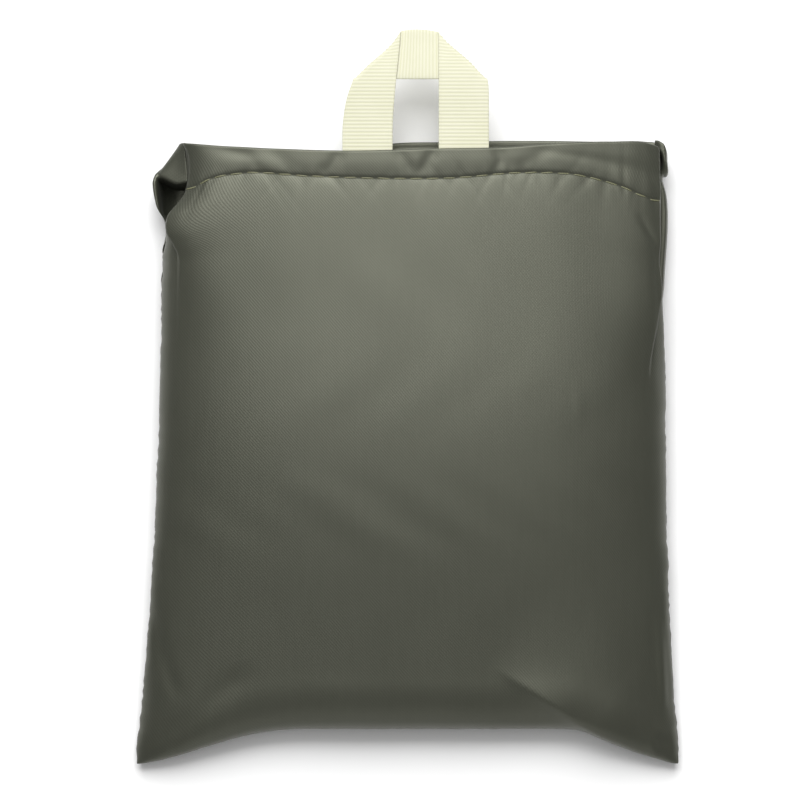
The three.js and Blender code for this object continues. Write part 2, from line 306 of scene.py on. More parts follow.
def back_surface(across, y, end):
    rise = 1 - bulge(across, BACK_ROUND) * bulge(end, BACK_ROUND)
    return seam_height(across, y) * np.clip((rise - 0.03) / 0.97, 0, 1) + CLOTH


def height(surface, end_length, x, y):
    """Height of one of those surfaces at x, y."""
    across = np.clip((x - centre_x(y)) / half_width(y), -1, 1)
    return surface(across, y, np.clip(1 - (y - bottom_edge(x)) / end_length, 0, 1))


def front_height(x, y):
    return height(front_surface, END_LENGTH, x, y)


def back_height(x, y):
    return height(back_surface, BACK_END_LENGTH, x, y)


def even_steps(height, width, power):
    """Maps an even step along a superellipse's quarter arc to its place across, from 0 to 1."""
    turn = np.linspace(0, math.pi / 2, 2000)
    across = np.sin(turn) ** (2 / power)
    up = height / width * np.cos(turn) ** (2 / power)
    length = lengths(np.stack([across, up], axis=-1))
    return length / length[-1], across


def plan(s, v, top_y, section, end, end_length, end_share):
    """Where (s, v) lies in plan, as x, y, place across and place in the bottom end."""
    across = np.sign(s) * np.interp(np.abs(s), *section)
    length = end_length * (1 - np.interp(1 - np.clip(v / end_share, 0, 1), *end))
    straight = top_y - BOTTOM_Y - end_length
    length = length + straight * np.clip((v - end_share) / (1 - end_share), 0, 1)
    low = bottom_edge(centre_x(BOTTOM_Y + length) + across * half_width(BOTTOM_Y + length))
    above = length * (top_y - low) / (top_y - BOTTOM_Y)
    y = low + above
    x = centre_x(y) + across * half_width(y)
    return x, y, across, np.clip(1 - above / end_length, 0, 1)


FRONT_SECTION = even_steps(TOP_Z - SEAM_Z, CORNER_X, ROUND)
FRONT_END = even_steps(END_RISE, END_LENGTH, END_ROUND)
BACK_SECTION = even_steps(SEAM_Z, CORNER_X, BACK_ROUND)
BACK_END = even_steps(BACK_END_RISE, BACK_END_LENGTH, BACK_ROUND)


# ---- tucks at the mouth's corners
# Near the mouth each side seam is pushed in between the panels, deeply on the left and slightly on the right.

TUCK_EDGE = 0.88  # |s| of the front's visible border beside a tuck
TUCK_S = (0.80, 0.83, 0.855, 0.875, 0.895, 0.915, 0.94, 0.97, 1.0)
# The back panel's tucked border at each of those, as distances in from the untucked side, and heights, in mm:
LEFT_BODY = (
    (5.7, 2.2, -1.1, -2.7, -2.8, -1.6, -0.2, 3.6, 8.6),
    (0.3, 0.6, 3.2, 8.2, 13, 12.6, 5, 1.4, 1.6),
)
LEFT_BAND = ((6.2, 3.2, 0.5, -1.1, -1.5, -1.1, 0.7, 4.1, 7.7), (0.3, 1, 4, 8, 11.2, 12.6, 13.4, 14.2, 15))
LEFT_MOUTH = (
    (10.2, 8.1, 6.5, 5.7, 5.3, 5.2, 5.3, 5.7, 6.7),
    (0.9, 2.6, 5.6, 9, 11.5, 12.8, 13.8, 14.6, 15.4),
)
RIGHT_BODY = (
    (6, 2.5, 0.6, 0.1, 0.1, 0.6, 1.6, 2.7, 3.8),
    (0.4, 0.8, 2.8, 5.5, 8.8, 11.4, 11.8, 11.4, 10.4),
)
RIGHT_MOUTH = ((6, 2.5, 0.6, 0.1, 0, 0.4, 1.5, 2.2, 3.8), (0.4, 0.8, 2.8, 5.5, 9.2, 11.6, 11.9, 5, 6))
# |s| and y in mm of the lower edge of the band that is folded over on the left:
BAND_START = ((0.88, 68.2), (0.915, 67.2), (0.94, 66), (0.97, 64.4), (1, 64.8))
# How far in from its untucked side the front's border lies beside each tuck, as (y, distance) in mm:
LEFT_BORDER = (
    (48, 2), (55.2, 1.1), (57.8, 1.9), (61.6, 4.7), (64.4, 6.7), (67.1, 8), (72, 8.3), (75, 6.6), (77, 5),
)
RIGHT_BORDER = ((10, 1), (28, 1.4), (36, 1.9), (45, 2.7), (52, 2.4), (60, 2.5), (68, 2.4), (76, 2.8))
# How far the back's right border stands out beyond its table above, as (y, distance) in mm:
RIGHT_LIP = (
    (24, -0.7), (36, -0.5), (50, 0.2), (58, 0.2), (63, -0.2), (67.2, -1.3), (69.2, -0.5), (72, 0.1), (76, 0),
)
# Where along y each side seam starts to go into its tuck and is fully in it, left (-1) and right (1):
SEAM_TUCK = {-1: (44 * MM, 58 * MM), 1: (6 * MM, 34 * MM)}
BORDER_TUCK = {-1: (42 * MM, 52 * MM), 1: (2 * MM, 34 * MM)}  # and the same for the front's border beside it


def tuck_row(p, row):
    """Distance in and height at |s| = p, from one of the rows above."""
    return [through(p, np.stack([TUCK_S, values], axis=1)) * MM for values in row]


def tucked_border(p, y, side):
    """The back panel's tucked border at |s| = p: distance in from the untucked side, and height."""
    if side > 0:
        opens = ramp(66, 69, y) * ramp(75.5, 72.5, y)
        rows = zip(tuck_row(p, RIGHT_BODY), tuck_row(p, RIGHT_MOUTH))
        inward, height = (mix(body, mouth, opens) for body, mouth in rows)
        out = curve(y, RIGHT_LIP) * smoothstep(0.8, 0.85, p) * smoothstep(1, 0.94, p)
        return inward - out, height
    start = through(p, BAND_START) * MM
    soft = mix(3 * MM, 0.7 * MM, smoothstep(0.89, 0.93, p))
    band = smoothstep(start - soft, start + soft, y)
    rise = np.clip((y - 68 * MM) / (9.5 * MM), 0, 1)
    grown = ramp(47, 66, y)
    result = []
    for low, high, top in zip(*(tuck_row(p, row) for row in (LEFT_BODY, LEFT_BAND, LEFT_MOUTH))):
        result.append(mix(np.minimum(low, 0) * grown + np.maximum(low, 0), mix(high, top, rise), band))
    return result


def seam_tuck(y, side):
    """How far a side seam has gone into its tuck, 0 to 1."""
    return smoothstep(*SEAM_TUCK[side], y)


def tucked_seam(y, side):
    """x and z that a side seam has at the bottom of its tuck."""
    inward, height = tucked_border(np.ones_like(y), y, side)
    return centre_x(y) + side * (half_width(y) - inward), height


def seam_line(y, side):
    """x and z of a side seam."""
    x, z = tucked_seam(y, side)
    k = seam_tuck(y, side)
    return mix(centre_x(y) + side * half_width(y), x, k), mix(seam_height(1.0, y), z, k)


def tuck_front(points, s):
    """Moves the front's border in beside each tuck, and turns it down and under to the seam."""
    y = points[..., 1]
    for side in (-1, 1):
        p = np.clip(s * side, 0, 1)
        middle, half = centre_x(y), half_width(y)
        border = np.interp(TUCK_EDGE, *FRONT_SECTION)
        border_x = middle + side * border * half
        border_z = front_height(border_x, y)
        places = LEFT_BORDER if side < 0 else RIGHT_BORDER
        inward = curve(y, places)
        raised = (0.6 if side < 0 else -0.6) * MM
        shown = smoothstep(*BORDER_TUCK[side], y)
        edge_x = mix(border_x, middle + side * (half - inward), shown)
        edge_z = border_z + raised * ramp(5, 62, y)
        seam_x, seam_z = tucked_seam(y, side)
        q = np.clip((p - TUCK_EDGE) / (1 - TUCK_EDGE), 0, 1)
        k = seam_tuck(y, side)
        roll = side * 4 * q * (1 - q) * mix(0.9 * (1 - border) * half, 0.3 * MM, k)
        near = smoothstep(0.5, TUCK_EDGE, p)
        x = points[..., 0] + (edge_x - border_x) * near
        z = points[..., 2] + (edge_z - border_z) * near
        x = np.where(q > 0, mix(points[..., 0], mix(edge_x, seam_x, q**2) + roll, k), x)
        z = np.where(q > 0, mix(points[..., 2], mix(edge_z, seam_z, q), k), z)
        points = xyz(x, y, z)
    return points


def tuck_back(points, s):
    y = points[..., 1]
    for side in (-1, 1):
        p = np.clip(s * side, 0, 1)
        k = seam_tuck(y, side) * smoothstep(0.74, 0.81, p)
        inward, z = tucked_border(np.broadcast_to(p, y.shape), y, side)
        x = centre_x(y) + side * (half_width(y) - inward)
        points = xyz(mix(points[..., 0], x, k), y, mix(points[..., 2], z, k))
    return points


def front_start(s, v):
    x, y, across, into = plan(s, v, MOUTH_Y, FRONT_SECTION, FRONT_END, END_LENGTH, END_SHARE)
    return tuck_front(xyz(x, y, front_surface(across, y, into)), s)


def back_start(s, v):
    x, y, across, into = plan(s, v, BACK_MOUTH_Y, BACK_SECTION, BACK_END, BACK_END_LENGTH, BACK_END_SHARE)
    return tuck_back(xyz(x, y, back_surface(across, y, into)), s)


# ---- cloth simulation

SOLVER_SCALE = 10  # the cloth solver is steadier on a bigger copy
SETTLE_FRAMES = 30
MOST_MOVED = 3 * MM
FORM_DEPTH = 2.8 * MM  # the form under the cloth is smaller by this much, which is just out of its reach
FADE = 25 * MM  # stretch over which the settling fades out below a tuck
TWILL_CLOTH = {
    "quality": 6, "mass": 0.2, "tension_stiffness": 15, "compression_stiffness": 15,
    "shear_stiffness": 5, "bending_stiffness": 0.5,
}


def relax(points, width, length, pinned):
    """How far each point of a grid of cloth moves as it settles over a form of nearly its own shape."""
    rows, columns = points.shape[:2]
    a, b = np.meshgrid(np.linspace(0, width, columns), np.linspace(0, length, rows))
    flat = xyz(a, b, np.zeros_like(a))
    cloth = add_object("cloth", grid_mesh("cloth", points * SOLVER_SCALE, flat[..., :2]))
    below = points - normals(points) * FORM_DEPTH
    form = add_object("form", grid_mesh("form", below * SOLVER_SCALE, flat[..., :2]))
    form.modifiers.new("collision", "COLLISION")
    form.collision.thickness_outer = 0.01
    form.collision.cloth_friction = 5
    cloth.shape_key_add(name="draped")
    cut = cloth.shape_key_add(name="flat")
    cut.data.foreach_set("co", (flat * SOLVER_SCALE).astype(np.float32).ravel())
    cut.value = 0
    held = cloth.vertex_groups.new(name="held")
    held.add(np.flatnonzero(pinned).tolist(), 1.0, "REPLACE")
    modifier = cloth.modifiers.new("cloth", "CLOTH")
    for name, value in TWILL_CLOTH.items():
        setattr(modifier.settings, name, value)
    modifier.settings.vertex_group_mass = "held"
    modifier.settings.rest_shape_key = cut
    modifier.collision_settings.distance_min = 0.015
    modifier.point_cache.frame_start = 1
    modifier.point_cache.frame_end = SETTLE_FRAMES
    scene = bpy.context.scene
    scene.frame_start, scene.frame_end = 1, SETTLE_FRAMES
    for step in range(1, SETTLE_FRAMES + 1):
        scene.frame_set(step)
    settled = cloth.evaluated_get(bpy.context.evaluated_depsgraph_get()).to_mesh()
    result = np.zeros(rows * columns * 3, np.float32)
    settled.vertices.foreach_get("co", result)
    moved = result.reshape(rows, columns, 3) / SOLVER_SCALE - points
    for obj in (cloth, form):
        bpy.data.objects.remove(obj)
    scene.frame_set(1)
    distance = np.linalg.norm(moved, axis=-1, keepdims=True)
    return moved * np.minimum(1, MOST_MOVED / np.maximum(distance, 1e-9))


def front_settling():
    """The simulated part of the front panel's shape. It fades towards seams and tucks."""
    columns, rows = 67, 75
    s, v = np.meshgrid(np.linspace(-1, 1, columns), np.linspace(0, 1, rows))
    points = front_start(s, v)
    pinned = np.zeros(s.shape, bool)
    pinned[[0, -1]] = True
    pinned[:, [0, -1]] = True
    free = smoothstep(1, 0.78, np.abs(s)) * smoothstep(0, 0.12, v) * smoothstep(1, 0.95, v)
    for side, (start, _) in SEAM_TUCK.items():
        pinned |= (seam_tuck(points[..., 1], side) > 0) & (s * side > 0.6)
        free *= 1 - smoothstep(0.25, 0.6, s * side) * smoothstep(start - FADE, start, points[..., 1])
    return relax(points, FLAT_WIDTH, FLAT_LENGTH, pinned) * free[..., None]


# ---- details of the front panel

# How far the hem's edge and its stitches stray from straight, as (x, y) in mm:
EDGE_SWAY = (
    (-70, 0.6), (-54, -0.5), (-35, -1.5), (-19, -2), (8, -1.4), (28, -1),
    (44, 0.2), (60, 0.9), (72, 0.5), (75, -0.4), (76.5, -1.4),
)
STITCH_SWAY = (
    (-67, -4), (-58, -0.8), (-48, 0.5), (-32, -0.5), (-5, -1.4),
    (12, -1.3), (36, 0.4), (50, -0.2), (62, -2.8), (76, -7.4),
)
# Soft hollows across the hem, as (x, y) of both ends from the mouth's middle, depth and half width, in mm:
HEM_HOLLOWS = (
    (-20, 0, -24, -7, 0.4, 2.2),
    (-3, 0, 1, -6, 0.3, 1.8),
    (8, 0, 4, -6.5, 0.42, 2.0),
    (27, 0, 28, -6, 0.4, 2.2),
    (42, -1, 34, -6, 0.2, 2.6),
    (-42, 1, -34, -6, 0.2, 3.0),
    (-62, 1, -48, -2, 0.25, 2.2),
)


def sway(x, below, stitch_below):
    """Shift along Y that gives the hem's edge and its row of stitches their wavering lines."""
    edge = curve(x, EDGE_SWAY)
    stitch = curve(x, STITCH_SWAY)
    to_edge = smoothstep(stitch_below, 0, below)
    to_stitch = smoothstep(stitch_below + 45 * MM, stitch_below, below)
    return edge * to_edge + stitch * to_stitch * (1 - to_edge)


def from_line(x, y, start, end):
    """Distances along a line from its start and off it to its left, and its whole length."""
    start, end = np.array(start), np.array(end)
    reach = np.linalg.norm(end - start)
    direction = (end - start) / reach
    along = (x - start[0]) * direction[0] + (y - start[1]) * direction[1]
    off = (y - start[1]) * direction[0] - (x - start[0]) * direction[1]
    return along, off, reach


def hollow(x, y, start, end, width):
    """1 along a line from start to end, falling to 0 beside it and past its ends."""
    along, off, reach = from_line(x, y, start, end)
    ends = smoothstep(-2 * width, width, along) * smoothstep(reach + 2 * width, reach - width, along)
    return bump(off, 0, width) * ends


def hem_hollows(x, y):
    depth = np.zeros_like(x)
    for x0, y0, x1, y1, deep, width in HEM_HOLLOWS:
        start, end = (x0 * MM, MOUTH_Y + y0 * MM), (x1 * MM, MOUTH_Y + y1 * MM)
        depth -= deep * MM * hollow(x, y, start, end, width * MM)
    return depth


def hem_crease(x, y):
    """A soft crease from the hem's edge down across it to the right border."""
    fall = ((34, -0.5), (40, -1.5), (46, -2.8), (54, -3.8), (62, -4.4), (77, -4.6))
    valley = MOUTH_Y + curve(x, fall)
    depth = curve(x, ((34, 0), (48, 0.14), (62, 0.3), (72, 0.36), (77, 0.25)))
    return -depth * bump(y, valley, 1.3 * MM)


def stitch_puckers(x, below):
    """Dimples that the stitches draw in the cloth, below and above them."""
    random = np.random.default_rng(11)
    depth = np.zeros_like(x)
    place = -76 * MM
    while place < 78 * MM:
        place += random.uniform(1.6, 5.0) * MM
        amount = random.uniform(0.05, 0.2) * MM
        width = random.uniform(0.8, 1.7) * MM
        slant = random.uniform(-0.9, 0.9)
        reach = np.where(below > 0, random.uniform(1.5, 5.5) * MM, random.uniform(1.2, 4) * MM)
        depth -= amount * bump(x + slant * below, place, width) * np.exp(-np.abs(below) / reach)
    return depth


def seam_gathers(along, inward, seed):
    """Small regular puckers along a seam, fading inward."""
    fine = np.sin(TURN * along / (4.3 * MM) + 1.5 * wander(along, 23 * MM, seed))
    broad = wander(along, 17 * MM, seed + 1)
    strength = 0.55 + 0.45 * wander(along, 40 * MM, seed + 2)
    small = 0.2 * MM * fine * np.exp(-inward / (2.5 * MM))
    return strength * (small + 0.25 * MM * broad * np.exp(-inward / (5 * MM)))


def gather_sides(points, s, way):
    """Puckers both side seams: a panel shifts sideways at the seam, and up or down (way) beside it."""
    for side in (-1, 1):
        inward = (1 - side * s) * FLAT_WIDTH / 2
        pucker = seam_gathers(points[..., 1], inward, 20 + side)
        free = 1 - 0.8 * seam_tuck(points[..., 1], side)
        points[..., 0] += side * pucker * free
        points[..., 2] += way * pucker * free * ramp(0, 4, inward)


def corner_crease(x, y):
    """The ridge that runs down to the bottom seam near its right corner, steeper on its lower side."""
    start, end = (31 * MM, BOTTOM_Y + 15.5 * MM), (55 * MM, BOTTOM_Y - 0.5 * MM)
    along, off, reach = from_line(x, y, start, end)
    along = along / reach
    grow = smoothstep(-0.3, 0.7, along) * smoothstep(1.6, 1.0, along)
    inner = mix(2 * MM, 4 * MM, np.clip(along, 0, 1))
    width = mix(inner, 11 * MM, ramp(-0.8, 0.8, off))
    return grow * 2.5 * MM * np.exp(-np.hypot(off, 0.4 * MM) / width)


def left_corner_fold(x, y):
    """Two soft folds from the bottom left corner up into the panel."""
    low, high = (-72 * MM, BOTTOM_Y - 2 * MM), (-50 * MM, BOTTOM_Y + 16 * MM)
    soft = -0.35 * MM * hollow(x, y, low, high, 3.5 * MM)
    side = -0.3 * MM * hollow(x, y, (-79 * MM, -60 * MM), (-70 * MM, -88 * MM), 2.2 * MM)
    return soft + side


def right_border_fold(x, y):
    """A narrow upright fold that runs down from the right end of the hem, beside the border."""
    valley_x = curve(y, ((-10, 76), (28, 75.4), (40, 74.8), (50, 74.4), (60, 70)))
    ends = ramp(-8, 25, y) * ramp(62, 54, y)
    return -0.4 * MM * bump(x, valley_x, 1.5 * MM) * ends


def front_details(points, s, b):
    """Displaces the front panel's fine grid. b is the cloth's distance from its bottom seam."""
    x, y = points[..., 0], points[..., 1]
    to_mouth = FLAT_LENGTH - b
    below = to_mouth - HEM_DEPTH
    away = 1 - smoothstep(0.86, 0.93, np.abs(s)) * ramp(48, 60, y)
    step = np.exp(-np.abs(below) / np.where(below > 0, 6 * MM, 0.6 * MM))
    lift = -0.42 * MM * step + 0.12 * MM * bump(below, -HEM_DEPTH / 2, 3 * MM) + stitch_puckers(x, below)
    lift = (lift + hem_hollows(x, y) + hem_crease(x, y) + 0.15 * MM * rolling(x, y, 38 * MM, 5)) * away
    lift = lift + 0.4 * seam_gathers(x, b, 31) * ramp(0, 2, b)
    points = points + normals(points) * lift[..., None]
    gather_sides(points, s, 1)
    folds = corner_crease(x, y) + left_corner_fold(x, y) + right_border_fold(x, y)
    points[..., 2] += folds * ramp(0, 4, b)
    points[..., 1] += sway(x, to_mouth, HEM_DEPTH)
    return points


# ---- hems


def with_hem(points, b, inside):
    """Rolls a panel's mouth edge over and back down inside: under its grid for -1, over it for 1."""
    n = normals(points) * inside
    edge, edge_n = points[-1], n[-1]
    tangent = unit(edge - points[-2])
    rows, places = [points], [b]
    for turn in np.linspace(0, math.pi, 6)[1:]:
        rolled = edge + edge_n * HEM_ROLL * (1 - math.cos(turn)) + tangent * HEM_ROLL * math.sin(turn)
        rows.append(rolled[None])
        places.append(b[-1:] + HEM_ROLL * turn)
    band = np.flatnonzero(b > b[-1] - HEM_DEPTH - HEM_RAW)[::-1][1:]
    rows.append(points[band] + n[band] * 2 * HEM_ROLL)
    places.append(2 * b[-1] + HEM_ROLL * math.pi - b[band])
    return np.concatenate(rows), np.concatenate(places)


def fine_rows(length, count):
    """Distances of a panel's rows from its bottom seam, closest in the hem, one of them at its stitches."""
    near = length - HEM_DEPTH - 22 * MM
    panel = np.linspace(0, near, count)[:-1]
    upper = np.linspace(near, length - HEM_DEPTH, 45)[:-1]
    hem = np.linspace(length - HEM_DEPTH, length, 24)
    return np.concatenate([panel, upper, hem])


def add_panel(name, points, s, b, inside):
    """Makes a panel from its grid, hem and all. Its length is b's last. Returns its row of stitches."""
    length = b[-1]
    seam_row = int(np.argmin(np.abs(b - (length - HEM_DEPTH))))
    row = points[seam_row], -inside * normals(points)[seam_row]
    points, b = with_hem(points, b, inside)
    mesh = grid_mesh(name, points, cloth_places(s * FLAT_WIDTH / 2, b))
    obj = add_piece(name, mesh, POUCH_TWILL, "pouch", ["pouch_" + name])
    thicken(obj, CLOTH)
    return row


def pouch_front():
    settling = front_settling()
    rows, columns = settling.shape[:2]
    s = np.linspace(-1, 1, 321)
    b = fine_rows(FLAT_LENGTH, 150)
    v = b / FLAT_LENGTH
    points = front_start(s[None, :], v[:, None])
    points = points + resample(settling, v * (rows - 1), (s + 1) / 2 * (columns - 1))
    points = front_details(points, s[None, :], b[:, None])
    return add_panel("front_panel", points, s, b, inside=-1)


# The back panel's mouth edge strays from straight by this much, as (x, y) in mm:
BACK_SWAY = (
    (-70, -2), (-54, -3.5), (-35, -4.5), (-19, -4.5), (-5, -1.5), (10, -1), (40, -0.6), (60, -0.9),
    (72, -1), (75.6, -1.6), (77.2, -3), (77.8, -4.6), (78.4, -6),
)


def pouch_back():
    s = np.linspace(-1, 1, 241)
    b = fine_rows(BACK_FLAT_LENGTH, 110)
    points = back_start(s[None, :], (b / BACK_FLAT_LENGTH)[:, None])
    x, y = points[..., 0], points[..., 1]
    to_mouth = BACK_FLAT_LENGTH - b[:, None]
    free = ramp(30, 0, to_mouth)
    lift = 0.9 * MM * ramp(16, 0, to_mouth) * (1 - ramp(60, 70, np.abs(x)))
    corner = ramp(60, 72, x) * ramp(12, 2, to_mouth)
    lift = lift + 2.5 * MM * corner
    gather_sides(points, s[None, :], -1)
    points[..., 2] = np.maximum(points[..., 2] + lift, CLOTH)
    points[..., 1] += curve(x, BACK_SWAY) * free
    return add_panel("back_panel", points, s, b, inside=1)


# ---- threads

THREAD_RADIUS = 0.24 * MM
STITCH_PITCH = 4.9 * MM
TACK_RADIUS = 0.22 * MM
TACK_PITCH = 0.7 * MM


def tube(line, radius, sides):
    """Rings of points round a line, drawn in at its two ends."""
    tangent = unit(np.gradient(line, axis=0))
    side = np.cross(tangent, [0, 0, 1.0])
    side[np.linalg.norm(side, axis=1) < 1e-6] = [1, 0, 0]
    side = unit(side)
    up = np.cross(tangent, side)
    thick = np.full(len(line), radius)
    thick[[0, -1]] *= 0.5
    turn = TURN * np.arange(sides) / sides
    ring = side[:, None] * np.cos(turn)[None, :, None] + up[:, None] * np.sin(turn)[None, :, None]
    return line[:, None] + ring * thick[:, None, None]


def thread_mesh(name, lines, radius=THREAD_RADIUS, sides=6):
    """One mesh of many separate lengths of thread."""
    points, faces, uv, count = [], [], [], 0
    for line in lines:
        faces += grid_faces(len(line), sides, True, count)
        points.append(tube(line, radius, sides).reshape(-1, 3))
        count += len(points[-1])
        around = np.tile(np.arange(sides) / sides * 2 * math.pi * radius, len(line))
        uv.append(np.stack([np.repeat(lengths(line), sides), around], axis=1))
    return mesh_from(name, np.concatenate(points), faces, np.concatenate(uv))


def stitches(path, up, pitch=STITCH_PITCH, gap=0.5 * MM, rise=0.22 * MM, sink=0.35 * MM):
    """Lockstitches along a path: each rises out of one needle hole and dives into the next."""
    random = np.random.default_rng(17)
    length = lengths(path)
    t = np.linspace(0, 1, 11)
    lines = []
    for k in range(int(length[-1] / pitch)):
        at = k * pitch + gap / 2 + t * (pitch - gap)
        base = at_lengths(at, length, path)
        base[:, 1] += random.uniform(-0.14, 0.14) * MM * np.cos(math.pi * t)
        normal = at_lengths(at, length, up)
        height = (rise * random.uniform(0.7, 1.1) + sink) * np.sin(math.pi * t) ** 0.6 - sink
        lines.append(base + normal * height[:, None])
    return lines


def zigzag(start, end, across, crossings):
    """A line that goes from start to end, crossing to and fro, with rounded turns."""
    t = np.linspace(0, 1, crossings * 6 + 1)
    swing = np.sin(math.pi * crossings * t)
    swing = np.sign(swing) * np.abs(swing) ** 0.6
    start, end, across = (np.array(place, float) for place in (start, end, across))
    return start + (end - start) * t[:, None] + across / 2 * swing[:, None]


def hem_stitching(name, row, node, last_s):
    """The visible row of stitches on a hem, along the panel's own surface."""
    path, up = row
    keep = slice(int(len(path) * (1 - last_s) / 2), int(len(path) * (1 + last_s) / 2) + 1)
    mesh = thread_mesh(name, stitches(path[keep], up[keep]))
    add_piece(name, mesh, THREAD, "pouch", [node])


def bar_tack(node, body, z, inset=0):
    """Close zigzag stitches over the width of a strap, where the CAD has its tack."""
    low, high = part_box(node)
    y = (low.y + high.y) / 2
    crossings = int((high.x - low.x) / TACK_PITCH)
    line = zigzag((low.x + inset, y, z), (high.x - inset, y, z), (0, high.y - low.y, 0), crossings)
    if body == "bundle":
        line = bundle_shape(line)
    name = node + "_thread"
    add_piece(name, thread_mesh(name, [line], TACK_RADIUS), THREAD, body, [node])


# ---- seams inside the pouch

ALLOWANCE = 5.5 * MM  # cloth left inside each seam
EDGE_PITCH = 1.8 * MM  # one loop of the overlock stitch along the cloth's edge


def side_seam_path(side):
    y = np.linspace(BACK_LOW.y + 8 * MM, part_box("left_seam_overlock")[1].y - 30 * MM, 160)
    x, z = seam_line(y, side)
    return xyz(x, y, z), np.array([-side, 0.0, 0.0])


def bottom_seam_path():
    x = np.linspace(-0.9 * CORNER_X, 0.9 * CORNER_X, 160)
    y = bottom_edge(x)
    return xyz(x, y, seam_height(x / CORNER_X, y)), np.array([0.0, 1.0, 0.0])


def seam(name, path, inward, node):
    """The two cloth edges inside a seam and the overlock thread that loops round them."""
    start = 0.8 * MM
    along = lengths(path)
    widths = np.linspace(start, start + ALLOWANCE, 5)
    ruffle = 0.25 * MM * wander(along, 14 * MM, 7)[:, None] * (widths / widths[-1])
    points = path[:, None] + inward * widths[None, :, None]
    points[..., 2] += ruffle
    edges = grid_mesh(name + "_edges", points, cloth_places(widths, along))
    thicken(add_piece(name + "_edges", edges, POUCH_TWILL, "pouch"), 2 * CLOTH)
    turns = int(along[-1] / EDGE_PITCH)
    at = np.linspace(0, along[-1], turns * 10)
    base = at_lengths(at, along, path)
    angle = TURN * np.arange(len(at)) / 10
    reach = start + ALLOWANCE / 2 + (ALLOWANCE / 2 + 0.2 * MM) * np.cos(angle)
    line = base + inward * reach[:, None]
    line[:, 2] += 0.5 * MM * np.sin(angle)
    add_piece(name, thread_mesh(name, [line], 0.14 * MM, 5), THREAD, "pouch", [node])


# ---- ribbon and webbing
# A strip starts flat: x across, y along it and z out of its face. Folds then turn the part beyond a line.


def fold(points, origin, angle, radius, side):
    """Folds the part of a strip beyond a line flat against itself: over it for side 1, under it for -1."""
    along = np.array([math.cos(angle), math.sin(angle)])
    out = np.array([-math.sin(angle), math.cos(angle)])
    flat = points[..., :2] - origin
    across, beyond = flat @ along, flat @ out
    h = -side * points[..., 2]
    turn = np.clip(beyond / radius, 0, math.pi)
    past = np.maximum(beyond - math.pi * radius, 0)
    folded = np.where(beyond > 0, (radius + h) * np.sin(turn) - past, beyond)
    height = np.where(beyond > 0, (radius + h) * np.cos(turn) - radius, h)
    place = np.array(origin) + across[..., None] * along + folded[..., None] * out
    return np.concatenate([place, -side * height[..., None]], axis=-1)


def strip(width, length, thickness, step, relief=None):
    """A flat closed strip as rings round its section, and the cloth's own place at each point."""
    half, edge = width / 2, thickness / 2
    turn = np.linspace(math.pi / 2, -math.pi / 2, 5)
    right = np.stack([half - edge + edge * np.cos(turn), edge * np.sin(turn)], axis=1)
    top = np.stack([np.linspace(-half + edge, half - edge, 16), np.full(16, edge)], axis=1)
    ring = np.concatenate([top[:-1], right, -top[1:-1], -right[:-1]])
    y = np.linspace(0, length, int(length / step) + 1)
    points = np.zeros((len(y), len(ring), 3))
    points[..., 0] = ring[:, 0]
    points[..., 1] = y[:, None]
    points[..., 2] = ring[:, 1]
    if relief:
        points[..., 2] *= 1 + relief(y)[:, None]
    return points, points[..., :2].copy()


def looped_strip(width, reach, across, thickness, radius, side, step, relief=None):
    """A strip that runs up from the origin, turns square to the right, and turns again to come back down."""
    length = 2 * reach + across + 2 * math.pi * radius
    points, uv = strip(width, length, thickness, step, relief)
    points = fold(points, (0, reach + across + 0.7 * math.pi * radius), -math.pi / 4, radius, side)
    points = fold(points, (0, reach), math.pi / 4, radius, side)
    return points, uv


RIB = 1.1 * MM
RIBBON_THICKNESS = 0.5 * MM
RIBBON_WIDTH = TAIL_HIGH.x - TAIL_LOW.x
LOOP_Z = (LOOP_LOW.z + LOOP_HIGH.z) / 2


def ribs(y):
    return 0.16 * np.cos(TURN * y / RIB)


def hanging_loop():
    """One length of grosgrain, folded square behind itself at both top corners."""
    left = TAIL_LOW.x + RIBBON_WIDTH / 2
    across = LOOP_HIGH.x - RIBBON_WIDTH / 2 - left - 1.5 * MM
    reach = LOOP_HIGH.y - RIBBON_WIDTH / 2 - TAIL_LOW.y - 2 * MM
    points, uv = looped_strip(RIBBON_WIDTH, reach, across, RIBBON_THICKNESS, 0.45 * MM, -1, RIB / 6, ribs)
    x, y, z = points[..., 0] + left, points[..., 1] + TAIL_LOW.y, points[..., 2] + LOOP_Z
    height = smoothstep(TAIL_HIGH.y, LOOP_HIGH.y + 4 * MM, y)
    leans = smoothstep(left + across * 0.75, left - RIBBON_WIDTH / 2, x)
    right = left + across + RIBBON_WIDTH / 2
    top = LOOP_HIGH.y
    soft = bump(y, top - 15.5 * MM, 4.5 * MM) * smoothstep(left, left - RIBBON_WIDTH / 2, x) * 0.8 * MM
    soft = soft - bump(y, top - 14 * MM, 3 * MM) * smoothstep(right - 7 * MM, right, x) * 0.6 * MM
    middle = (TAIL_HIGH.x + right - RIBBON_WIDTH) / 2
    arch = smoothstep(top - 14 * MM, top, y) * np.clip(np.abs(x - middle) / (10 * MM), 0, 1) ** 2
    x = x + leans * height * 5.5 * MM + soft
    y = y - 1.4 * MM * arch
    z = z + 0.9 * MM * np.sin(height * math.pi) - 1.5 * MM * height
    mesh = grid_mesh("hanging_loop_ribbon", xyz(x, y, z), uv, closed=True)
    replaced = ["hanging_loop", "loop_tail_left", "loop_tail_right"]
    obj = add_piece("hanging_loop_ribbon", mesh, GROSGRAIN, None, replaced)
    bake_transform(obj)


# ---- the folded tote

